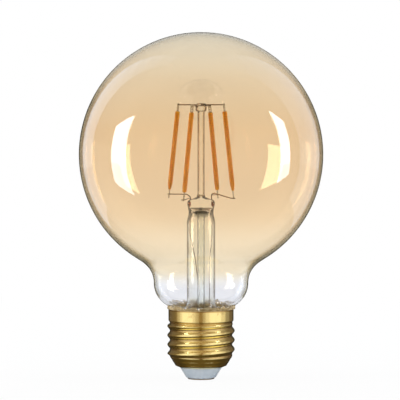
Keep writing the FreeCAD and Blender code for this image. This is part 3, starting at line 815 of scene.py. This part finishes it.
@dataclass
class CementRing(SubAssembly):
    """Cement between glass and cap, with an uneven bead squeezed out over the rim; sizes in mm."""

    outer_r: float = 12.34
    foot_z: float = 23.5
    rim_z: float = 27.22
    bead_r: float = 13.2
    bead_z: float = 28.45
    bead_drop: float = 0.35
    bead_lift: float = 0.3
    bead_root: float = 0.4
    swell: float = 0.35
    swell_waves: Waves = ((3, 0.3, 0.6), (7, 0.25, 2.1), (13, 0.25, 4.0))
    creep: float = 0.8
    creep_mean: float = 0.3
    creep_waves: Waves = ((5, 0.3, 1.0), (13, 0.35, 0.4), (29, 0.25, 2.5), (47, 0.2, 1.2))
    gap: float = 0.04
    rows: int = 24
    columns: int = 360

    def build(self) -> None:
        """Builds the ring: the bead's reach and its creep up the glass are sums of sines round the axis."""
        glass = Envelope(self.builder).side(0.0)[::-1]
        glass = glass[glass[:, 1] <= self.bead_z + 2.0 * self.creep]
        heights = np.linspace(self.foot_z, self.bead_z, self.rows)
        against = np.column_stack([np.interp(heights, glass[:, 1], glass[:, 0]) + self.gap, heights])
        section = outline((self.bead_r, self.bead_z - self.bead_drop),
                          (self.bead_r, self.rim_z + self.bead_lift),
                          (self.outer_r + self.bead_root, self.rim_z), (self.outer_r, self.rim_z),
                          (self.outer_r, self.foot_z), against)
        angle = angles(self.columns)
        high = unit((section[:, 1:] - self.rim_z) / (self.bead_z - self.rim_z))
        z = section[:, 1:] + self.creep * sines(angle, self.creep_waves, self.creep_mean) * high
        reach = unit((section[:, :1] - self.outer_r) / (self.bead_r - self.outer_r))
        touching = np.arange(len(section))[:, None] >= len(section) - len(against)
        r = np.where(touching, np.interp(z, glass[:, 1], glass[:, 0]) + self.gap,
                     section[:, :1] + self.swell * sines(angle, self.swell_waves) * reach)
        skin = Skin(around(r, z, angle), True)
        self.builder.piece("cement_bead", skin, "basing_cement", ["basing_cement"], Edge.SOFT)


@dataclass
class Stem(SubAssembly):
    """Flare tube with a pressed top, exhaust tube and support rod with its button; sizes in mm."""

    tube_r: float = 5.55
    tube_wall: float = 0.9
    rim_r: float = 11.02
    bell_z: float = 30.51
    tube_top_z: float = 60.9
    waist_r: float = 4.85
    waist_z: float = 64.9
    hollow_r: float = 3.9
    roof_z: float = 65.7
    roof_corner_r: float = 1.2
    dome_r: float = 1.5
    press_r: float = 5.4
    press_z: float = 68.6
    shoulder_r: float = 3.9
    shoulder_z: float = 70.1
    press_top_z: float = 71.2
    press_half: float = 2.6
    press_power: float = 8.0
    jaw_open: float = 1.12
    jaw_top_z: float = 66.8
    shade_drop: float = 2.9
    shade_run: float = 1.8
    dome_shade: float = 0.4
    dome_clear: float = 0.2
    exhaust_r: float = 1.48
    exhaust_bore_r: float = 1.03
    trumpet_r: float = 2.15
    trumpet_z: float = 62.3
    tip_z: float = 18.5
    tip_start_z: float = 20.9
    tip_r: float = 0.6
    rod_r: float = 1.36
    foot_fillet: float = 0.9
    foot_reach: float = 0.3
    button_r: float = 2.15
    button_z: float = 104.2
    button_root: float = 0.2
    button_top_z: float = 107.4
    seam: float = 0.02
    columns: int = 96
    thin_columns: int = 64

    def flare(self) -> None:
        """Builds the flare: outside down over the press, waist and bell, inside up to the roof and its dome.

        Above the waist a point's depth y shrinks to (|y|^-p + h^-p)^(-1/p), with h half the jaw's opening.
        Marks on the points tell the inside of the tube and the shade that gathers under its roof.
        """
        bell = self.rim_r - self.tube_r
        turn = np.linspace(0.0, np.pi / 2.0, num=14)
        corner_z = self.roof_z - self.roof_corner_r
        outside = outline(
            (AXIS_R, self.press_top_z), (self.rod_r, self.press_top_z), (self.shoulder_r, self.shoulder_z),
            np.column_stack([self.shoulder_r + (self.press_r - self.shoulder_r) * np.sin(turn),
                             self.press_z + (self.shoulder_z - self.press_z) * np.cos(turn)]),
            s_bend((self.press_r, self.press_z), (self.waist_r, self.waist_z), count=64),
            s_bend((self.waist_r, self.waist_z), (self.tube_r, self.tube_top_z), count=24),
            arc((self.rim_r, self.bell_z), bell, 180.0, 270.0, count=30))
        inside = outline(
            arc((self.rim_r, self.bell_z), bell + self.tube_wall, 270.0, 180.0, count=30),
            s_bend((self.tube_r - self.tube_wall, self.tube_top_z), (self.hollow_r, corner_z), count=24),
            arc((self.hollow_r - self.roof_corner_r, corner_z), self.roof_corner_r, 0.0, 90.0, count=10),
            arc((0.0, self.roof_z), self.dome_r, 0.0, 88.0, count=16))
        skin = turned(outline(outside, inside), self.columns)
        y, z = skin.rings[..., 1], skin.rings[..., 2]
        slope = unit((z - self.waist_z) / (self.jaw_top_z - self.waist_z))
        open_half = self.waist_r * self.jaw_open
        half = open_half + (self.press_half - open_half) * slope
        depth = np.abs(y) + 1e-6
        power = -self.press_power
        pressed = (depth ** power + half ** power) ** (1.0 / power) * np.sign(y)
        outer = np.arange(len(skin.rings))[:, None] < len(outside)
        roof = unit((z - self.roof_z + self.shade_drop) / self.shade_run)
        shade = np.where(z > self.roof_z + self.dome_clear, self.dome_shade, roof)
        skin.marks["bore"] = np.where(outer, 0.0, 1.0) + 0.0 * z
        skin.marks["shade"] = np.where(outer, 0.0, shade)
        skin.rings[..., 1] = np.where(outer & (z > self.waist_z), pressed, y)
        self.builder.piece("stem_glass", skin, "clear_glass", ["stem_flare"], Edge.CRISP, "tube_glass")

    def exhaust(self) -> None:
        """Builds the exhaust tube: trumpet mouth under the roof, long tube, sealed tip."""
        top = self.roof_z - self.seam
        profile = outline(
            (self.dome_r, top), (self.trumpet_r, top),
            s_bend((self.trumpet_r, top), (self.exhaust_r, self.trumpet_z), count=24),
            (self.exhaust_r, self.tip_start_z), (self.tip_r, self.tip_z), (AXIS_R, self.tip_z),
            arc((0.0, self.tip_start_z), self.exhaust_bore_r, -88.0, 0.0, count=12),
            s_bend((self.exhaust_bore_r, self.trumpet_z), (self.dome_r, top), count=24)[:-1])
        skin = turned(profile, self.thin_columns, True)
        self.builder.piece("exhaust_glass", skin, "clear_glass", ["exhaust_tube"])

    def rod(self) -> None:
        """Builds the rod: rounded button, straight rod and a small fillet at its foot."""
        edge = self.button_r - self.rod_r
        foot_z = self.press_top_z + self.seam
        fillet_z = foot_z + self.foot_fillet
        profile = outline(
            (AXIS_R, self.button_top_z),
            arc((self.rod_r, self.button_top_z - edge), edge, 90.0, 0.0, count=12),
            arc((self.rod_r, self.button_z + edge), edge, 0.0, -90.0, count=12),
            (self.rod_r, self.button_z - self.button_root), (self.rod_r, fillet_z),
            arc((self.rod_r + self.foot_fillet, fillet_z), self.foot_fillet, 180.0, 235.0, count=10),
            (self.rod_r + self.foot_reach, foot_z), (AXIS_R, foot_z))
        skin = turned(profile, self.thin_columns)
        self.builder.piece("rod_glass", skin, "clear_glass", ["support_rod"], finish="rod_glass")

    def build(self) -> None:
        """Builds the three glass pieces of the stem."""
        self.flare()
        self.exhaust()
        self.rod()


@dataclass
class FilamentRing(SubAssembly):
    """Four phosphor coated bars that hang from two crossing wires; sizes in mm and degrees."""

    top_r: float = 9.5
    bottom_r: float = 13.9
    top_azimuth: float = -21.0
    bottom_azimuth: float = -27.5
    outer_wire_z: float = 106.86
    inner_wire_z: float = 106.44
    wire_to_coat: float = 2.65
    coat_length: float = 30.9
    coat_r: float = 0.86
    blunt_r: float = 0.72
    blunt_length: float = 0.45
    tip_half: float = 0.28
    least_half: float = 0.2
    wedge_length: float = 2.6
    end_r: float = 0.6
    squareness: float = 2.5
    uneven: Waves = ((1.7, 0.012, 1.0), (4.1, 0.01, 2.0))
    rows: int = 140
    columns: int = 32

    def axes(self, corner: Corner) -> tuple[np.ndarray, np.ndarray, np.ndarray, np.ndarray]:
        """Lower end of a bar and its directions across, out of its face and up.

        Args:
            corner: Which of the four bars.

        Returns:
            The lower end and three unit directions.
        """
        wire_z = self.inner_wire_z if corner.value % 2 else self.outer_wire_z
        top_turn = np.radians(self.top_azimuth + 90.0 * corner.value)
        end_turn = np.radians(self.bottom_azimuth + 90.0 * corner.value)
        outwards = np.array([np.cos(end_turn), np.sin(end_turn), 0.0])
        wire_point = np.array([self.top_r * np.cos(top_turn), self.top_r * np.sin(top_turn), wire_z])
        spread = self.bottom_r * outwards[:2] - wire_point[:2]
        drop = np.sqrt((self.wire_to_coat + self.coat_length) ** 2 - spread @ spread)
        end = np.array([*(self.bottom_r * outwards[:2]), wire_z - drop])
        up = (wire_point - end) / np.linalg.norm(wire_point - end)
        across = np.cross(outwards, up)
        across /= np.linalg.norm(across)
        return end, across, np.cross(up, across), up

    def bar(self, corner: Corner) -> Skin:
        """Surface of one bar: superellipses |x/a|^n + |y/b|^n = 1 along its length.

        Half width a rounds off at both ends, half depth b falls to the wedge at the lower end, and slow sines
        along the run, shifted for each bar, make the coat uneven.

        Args:
            corner: Which of the four bars.

        Returns:
            The skin, with its run in mm as a mark.
        """
        end, across, facing, up = self.axes(corner)
        run = self.coat_length * (0.5 - 0.5 * np.cos(np.linspace(np.pi, 0.0, self.rows)))
        low = unit(run / self.end_r)
        high = unit((self.coat_length - run) / self.blunt_length)
        body = sines(run, [(rate, size, shift * corner.value) for rate, size, shift in self.uneven], 1.0)
        width = (self.coat_r - self.end_r + self.end_r * np.sqrt(low * (2.0 - low))) * body
        width *= (self.blunt_r + (self.coat_r - self.blunt_r) * np.sqrt(high)) / self.coat_r
        wedge = self.tip_half + (self.coat_r - self.tip_half) * unit(run / self.wedge_length)
        depth = np.maximum(np.minimum(wedge, width / body) * body, self.least_half)
        angle = angles(self.columns)
        power = 2.0 / self.squareness
        x, y = (np.sign(way) * np.abs(way) ** power for way in (np.cos(angle), np.sin(angle)))
        local = (x * width[:, None])[..., None] * across + (y * depth[:, None])[..., None] * facing
        rings = end + local + (run[:, None] * up)[:, None, :]
        return Skin(rings, marks={"run": np.broadcast_to(run[:, None], rings.shape[:2])})

    def build(self) -> None:
        """Builds the bars and dresses their tabs and the wires that carry them."""
        for corner in Corner:
            name = "filament_" + corner.label
            self.builder.piece(name, self.bar(corner), "phosphor_coat", ["led_" + name])
            for tab in ("upper_tab_", "lower_tab_"):
                self.builder.dress(tab + corner.label, "tab_steel")
        for wire in ("outer", "inner"):
            self.builder.dress("support_wire_" + wire, "nickel_wire")


class LeadWires(SubAssembly):
    """Wires above, in and below the press, carried over from the CAD model."""

    SLOTS = {"inner_lead": "nickel_wire", "branch_wire": "nickel_wire", "seal_wire": "seal_wire",
             "tail_wire": "copper_wire"}

    def build(self) -> None:
        """Dresses the wires of both sides."""
        for side in Side:
            for wire, slot in self.SLOTS.items():
                self.builder.dress(f"{wire}_{side.label}", slot)


class Driver(SubAssembly):
    """Circuit board in the cap and what stands on it, carried over from the CAD model."""

    SLOTS = {"driver_board": "board_laminate", "bridge_rectifier": "chip_plastic",
             "driver_chip": "chip_plastic", "smoothing_capacitor": "capacitor_sleeve",
             "fuse_resistor": "fuse_coating", "live_wire": "copper_wire", "neutral_wire": "copper_wire"}

    def build(self) -> None:
        """Dresses the hidden pieces."""
        for node, slot in self.SLOTS.items():
            self.builder.dress(node, slot)


@dataclass(frozen=True)
class Panel:
    """Upright panel of light that faces the lamp; sizes in metres."""

    name: str
    turns: Pair  # degrees from the camera's side round the lamp to its two edges, to the left below zero
    spread: Pair  # distance of those edges from the lamp's axis
    heights: Pair  # of the lower and the upper edge
    radiance: float  # 1 as white as the background
    tone: str = WHITE

    @staticmethod
    def veil(light: bpy.types.Light) -> None:
        """Hides a light from eyes that look at it straight through the glass; reflections still show it.

        Args:
            light: The light's data.
        """
        tree = node_tree(light)
        path = add(tree, "LightPath").node.outputs
        mirrored = add(tree, "Math", (path["Diffuse Depth"], path["Glossy Depth"]), operation="ADD")
        bare = add(tree, "Math", (path["Transmission Depth"], 0.5), operation="LESS_THAN")
        share = add(tree, "Math", (mirrored, bare), operation="ADD", use_clamp=True)
        add(tree, "OutputLight", {"Surface": add(tree, "Emission", {"Strength": share})})

    def hang(self, pieces: bpy.types.Collection) -> None:
        """Hangs the panel.

        Args:
            pieces: Pieces that it lights or leaves.
        """
        turn = np.radians(np.array(self.turns))
        first, last = np.array(self.spread)[:, None] * np.column_stack([np.sin(turn), -np.cos(turn)])
        middle = (first + last) / 2.0
        width = float(np.linalg.norm(last - first))
        low, high = self.heights
        light = bpy.data.lights.new(self.name, "AREA")
        light.shape = "RECTANGLE"
        light.size = width
        light.size_y = high - low
        light.energy = self.radiance * np.pi * width * (high - low)
        light.color = linear(self.tone)[:3]
        self.veil(light)
        lamp = put(self.name, light)
        along = (last - first) / width
        normal = np.array([along[1], -along[0]])
        normal *= -np.sign(normal @ middle)
        lamp.location = (*middle.tolist(), (low + high) / 2.0)
        look_along(lamp, (*normal.tolist(), 0.0))
        lamp.light_linking.receiver_collection = pieces


@dataclass
class Studio:
    """Pale floor, soft side lamps, a plain room and the camera; sizes in metres unless said."""

    floor_size: float = 6.0
    shadow_reach: Pair = (0.06, 0.4)
    shadow_white: float = 0.93
    ceiling_rise: Pair = (0.3, 0.6)  # height of a direction at which the ceiling starts and is full
    ceiling_front: Pair = (0.1, -0.3)  # depth of a direction, towards the camera, for the same
    camera_distance: float = 1.0
    camera_height: float = 0.110
    aim: Pair = (-0.0004, 0.0698)
    frame_width: float = 0.1556
    sensor_mm: float = 36.0
    clip_end: float = 20.0
    fill_watts: float = 0.012
    fill_r: float = 0.005
    fill_z: float = 0.04
    globe_z: float = 0.0875
    box_radiance: float = 10.0
    walls: tuple[tuple[Side, Pair, float], ...] = (
        (Side.LEFT, (-121.0, -146.0), 0.9), (Side.RIGHT, (104.0, 146.0), 0.6))
    wall_spread: Pair = (0.9, 0.9)
    wall_steps: Steps = ((-0.35, 1.0), (0.7, 0.8), (0.9, 0.6), (1.15, 0.4), (1.5, 0.2), (2.2, 0.0))
    wall_tone: str = "#bcdaff"
    card_spread: Pair = (0.7, 0.7)
    card_heights: Pair = (-0.4, 1.3)
    card_steps: tuple[tuple[Side, Steps], ...] = (
        (Side.LEFT, ((8.0, 0.22), (20.0, 0.5), (30.0, 0.78), (70.0, 0.5), (80.0, 0.2), (92.0, 0.0))),
        (Side.RIGHT, ((6.0, 0.2), (16.0, 0.5), (30.0, 0.76), (75.0, 0.45), (95.0, 0.15), (118.0, 0.0))))
    low_card_turns: Pair = (8.0, 60.0)
    low_card_heights: Pair = (-0.8, -0.4)
    low_card_radiance: float = 0.4

    def floor(self) -> None:
        """Lays the floor: white to the eye, with part of its brightness left to the lamps for the shadow."""
        material = bpy.data.materials.new("studio_floor")
        tree = node_tree(material)
        path = add(tree, "LightPath").node.outputs
        seen = add(tree, "Math", (path["Is Camera Ray"], path["Is Transmission Ray"]), operation="MAXIMUM")
        place = add(tree, "TexCoord", out="Object")
        spot = add(tree, "VectorMath", (place,), out="Value", operation="LENGTH")
        plain = add(tree, "MapRange", (spot, *self.shadow_reach, self.shadow_white))
        share = add(tree, "Math", (seen, plain), operation="MULTIPLY")
        lit = add(tree, "BsdfDiffuse", {"Color": linear("#f4f4f3")})
        glow = add(tree, "Emission", {"Color": linear(WHITE), "Strength": 1.0})
        add(tree, "OutputMaterial", {"Surface": add(tree, "MixShader", (share, lit, glow))})
        half = self.floor_size / 2.0
        corners = [(-half, -half, 0.0), (half, -half, 0.0), (half, half, 0.0), (-half, half, 0.0)]
        mesh = bpy.data.meshes.new("studio_floor")
        mesh.from_pydata(corners, [], [(0, 1, 2, 3)])
        mesh.materials.append(material)
        floor = put("studio_floor", mesh)
        floor.visible_glossy = False

    def room(self) -> None:
        """Sets the world: white behind glass, soft fill, and a graded room for reflections."""
        world = bpy.data.worlds.new("studio_room")
        bpy.context.scene.world = world
        tree = node_tree(world)
        way = add(tree, "SeparateXYZ", (add(tree, "TexCoord", out="Generated"),)).node.outputs
        front = add(tree, "MapRange", (way["Y"], -1.0))
        room = add(tree, "ValToRGB", (front,), (
            (0.0, "#8e734c"), (0.02, "#a08662"), (0.5, "#9c8460"), (0.6, "#78664c"), (0.9, "#6a5c54"),
            (0.95, "#3a3830"), (1.0, "#3a3830")))
        rise = add(tree, "MapRange", (way["Z"], -1.0))
        below = add(tree, "ValToRGB", (rise,), (
            (0.0, "#9c9c82"), (0.28, "#a6a28a"), (0.42, WHITE), (1.0, WHITE)))
        graded = add(tree, "Mix", {0: 1.0, 6: room, 7: below}, out=2, **MULTIPLY)
        path = add(tree, "LightPath").node.outputs
        through = path["Is Transmission Ray"]
        seen = add(tree, "Math", (path["Is Camera Ray"], through), operation="MAXIMUM")
        plain = add(tree, "Mix", {0: seen, 6: linear("#dfe1e3"), 7: linear(WHITE)}, out=2, data_type="RGBA")
        mirrored = add(tree, "Math", (path["Is Glossy Ray"], through), operation="SUBTRACT", use_clamp=True)
        over = add(tree, "MapRange", (way["Z"], *self.ceiling_rise))
        behind = add(tree, "MapRange", (way["Y"], *self.ceiling_front, 0.0, through))
        ceiling = add(tree, "Math", (over, behind), operation="MULTIPLY")
        shown = add(tree, "Math", (mirrored, ceiling), operation="MAXIMUM")
        colour = add(tree, "Mix", {0: shown, 6: plain, 7: graded}, out=2, data_type="RGBA")
        add(tree, "OutputWorld", {"Surface": add(tree, "Background", {"Color": colour, "Strength": 1.0})})

    @staticmethod
    def group(linking: Linking, *names: str) -> bpy.types.Collection:
        """Gathers pieces for the light linking of a lamp, as cards and flags do it in a studio.

        Args:
            linking: Whether the lamp lights only these pieces or all others.
            *names: The pieces.

        Returns:
            The collection.
        """
        pieces = bpy.data.collections.new("linked_pieces")
        for name in names:
            pieces.objects.link(bpy.data.objects[name])
        for entry in pieces.collection_objects:
            entry.light_linking.link_state = linking.value
        return pieces

    def neck_fill(self, pieces: bpy.types.Collection) -> None:
        """Sets a small fill in the neck, for the light that the clear glass lets down on the cement.

        Args:
            pieces: Pieces that it lights.
        """
        light = bpy.data.lights.new("neck_fill", "POINT")
        light.shadow_soft_size = self.fill_r
        light.energy = self.fill_watts
        light.use_shadow = False
        lamp = put("neck_fill", light)
        lamp.location = (0.0, 0.0, self.fill_z)
        lamp.light_linking.receiver_collection = pieces

    def glass_lamps(self) -> list[Panel]:
        """Softboxes and blue-white walls, which fade upwards in steps, for the glass to mirror.

        Returns:
            The panels.
        """
        z = self.globe_z
        panels = [Panel("softbox_left", turns=(-72.05, -90.98), spread=(0.6, 1.05),
                        heights=(z - 0.346, z + 0.346), radiance=self.box_radiance),
                  Panel("softbox_right", turns=(77.0, 90.0), spread=(0.6, 0.95),
                        heights=(z - 0.22, z + 0.38), radiance=self.box_radiance)]
        for (low, share), (high, _) in zip(self.wall_steps, self.wall_steps[1:]):
            for side, turns, radiance in self.walls:
                name = "wall_%s_%d" % (side.label, 100 * low)
                panels.append(Panel(name, turns, self.wall_spread, (low, high), radiance * share,
                                    self.wall_tone))
        return panels

    def brass_cards(self) -> list[Panel]:
        """Cards from the camera's side round to the back, in steps of brightness, and a low pair below them.

        Returns:
            The panels.
        """
        panels = []
        for side, steps in self.card_steps:
            for (start, level), (end, _) in zip(steps, steps[1:]):
                name = "card_%s_%d" % (side.label, start)
                turns = (side.value * start, side.value * end)
                panels.append(Panel(name, turns, self.card_spread, self.card_heights, level))
        for side in Side:
            start, end = self.low_card_turns
            panels.append(Panel("card_low_" + side.label, (side.value * start, side.value * end),
                                self.card_spread, self.low_card_heights, self.low_card_radiance))
        return panels

    def camera(self) -> None:
        """Sets the camera at the photograph's angle, level with the upper third of the globe."""
        data = bpy.data.cameras.new("studio_camera")
        data.sensor_width = self.sensor_mm
        data.lens = self.sensor_mm * self.camera_distance / self.frame_width
        data.clip_end = self.clip_end
        camera = put("studio_camera", data)
        camera.location = (self.aim[0], -self.camera_distance, self.camera_height)
        look_along(camera, Vector((self.aim[0], 0.0, self.aim[1])) - camera.location)
        bpy.context.scene.camera = camera

    def build(self) -> None:
        """Builds the stage, the light and the camera, and lets light through many glass walls."""
        scene = bpy.context.scene
        scene.view_settings.view_transform = "Standard"
        scene.cycles.max_bounces = 32
        scene.cycles.transmission_bounces = 32
        scene.cycles.glossy_bounces = 8
        self.floor()
        self.room()
        all_but_cap = self.group(Linking.WITHOUT, "brass_shell", "insulator", "contact_disc")
        brass = self.group(Linking.ONLY, "brass_shell")
        self.neck_fill(self.group(Linking.ONLY, "cement_bead", *Driver.SLOTS))
        for panel in self.glass_lamps():
            panel.hang(all_but_cap)
        for card in self.brass_cards():
            card.hang(brass)
        self.camera()


def main() -> None:
    """Builds every sub-assembly in order, then the studio."""
    logging.basicConfig(level=logging.INFO, format="%(name)s: %(message)s")
    builder = Builder()
    for part in (Envelope, ScrewCap, CementRing, Stem, FilamentRing, LeadWires, Driver):
        part(builder).build()
        LOG.info("finished %s", part.__name__)
    Studio().build()


if __name__ == "__main__":
    main()
